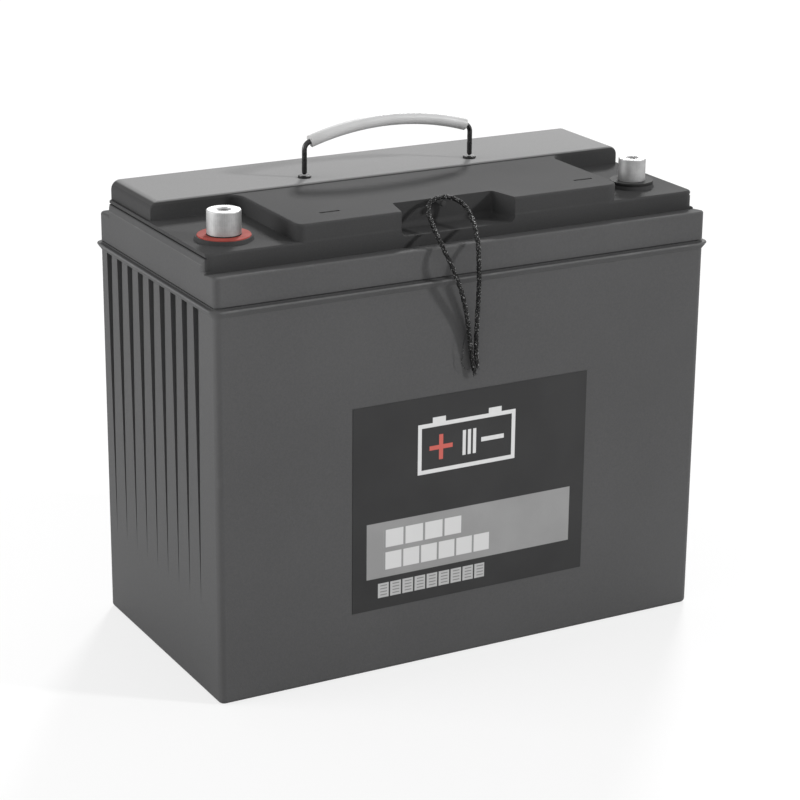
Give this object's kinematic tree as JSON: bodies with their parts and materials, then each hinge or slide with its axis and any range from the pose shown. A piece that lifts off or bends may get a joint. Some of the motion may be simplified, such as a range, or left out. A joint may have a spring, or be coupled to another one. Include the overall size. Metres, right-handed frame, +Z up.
{
  "type": "deep cycle battery",
  "caption": "Sealed rectangular twelve-volt monobloc with threaded top posts, raised vent cover, fluted ends and a swinging cord handle.",
  "frame": {"origin": "middle of the underside of the case", "axes": "+X along the length towards the negative post, -Y towards the labelled front, +Z up"},
  "size_m": [0.3406, 0.1856, 0.3197],
  "materials": {
    "case_plastic": "fine moulded grain",
    "cover_plastic": "fine moulded grain, lighter grey",
    "sealant": "cured epoxy",
    "valve_rubber": "smooth moulded rubber",
    "terminal_metal": "turned and tinned",
    "red_plastic": "moulded red ring",
    "black_plastic": "moulded black ring",
    "grommet_rubber": "smooth, slightly glossy",
    "cord_sheath": "extruded sheath",
    "ferrule_metal": "crimped",
    "grip_plastic": "smooth extruded tube",
    "cast_lead": "dull cast lead",
    "positive_paste": "cured brown paste on a lead grid",
    "negative_paste": "cured grey paste on a lead grid",
    "glass_mat": "absorbent glass fibre",
    "label_film": "printed film",
    "braid": "tight round braid"
  },
  "bodies": {
    "case": {"jar": "case_plastic", "lid": "case_plastic", "rim_sealant": "sealant", "vent_cover": "cover_plastic", "relief_valve_caps": "valve_rubber", "positive_terminal": "terminal_metal", "negative_terminal": "terminal_metal", "negative_ring": "black_plastic", "positive_ring": "red_plastic", "positive_seal": "valve_rubber", "negative_seal": "valve_rubber", "handle_grommets": "grommet_rubber", "handle_cord_tails": "cord_sheath", "handle_cord_stops": "ferrule_metal", "intercell_links": "cast_lead", "front_label": "label_film", "braided_cord": "braid", "cell_1_positive_plates": "positive_paste", "cell_1_negative_plates": "negative_paste", "cell_1_glass_mats": "glass_mat", "cell_1_straps": "cast_lead", "cell_2_positive_plates": "positive_paste", "cell_2_negative_plates": "negative_paste", "cell_2_glass_mats": "glass_mat", "cell_2_straps": "cast_lead", "cell_3_positive_plates": "positive_paste", "cell_3_negative_plates": "negative_paste", "cell_3_glass_mats": "glass_mat", "cell_3_straps": "cast_lead", "cell_4_positive_plates": "positive_paste", "cell_4_negative_plates": "negative_paste", "cell_4_glass_mats": "glass_mat", "cell_4_straps": "cast_lead", "cell_5_positive_plates": "positive_paste", "cell_5_negative_plates": "negative_paste", "cell_5_glass_mats": "glass_mat", "cell_5_straps": "cast_lead", "cell_6_positive_plates": "positive_paste", "cell_6_negative_plates": "negative_paste", "cell_6_glass_mats": "glass_mat", "cell_6_straps": "cast_lead"},
    "handle": {"handle_cord": "cord_sheath", "handle_grip": "grip_plastic"}
  },
  "joints": [
    {"name": "handle_swing", "type": "hinge", "parent": "case", "child": "handle", "pos_m": [0, 0.0254, 0.2887], "axis": [1, 0, 0], "range_deg": [-82, 82]}
  ]
}
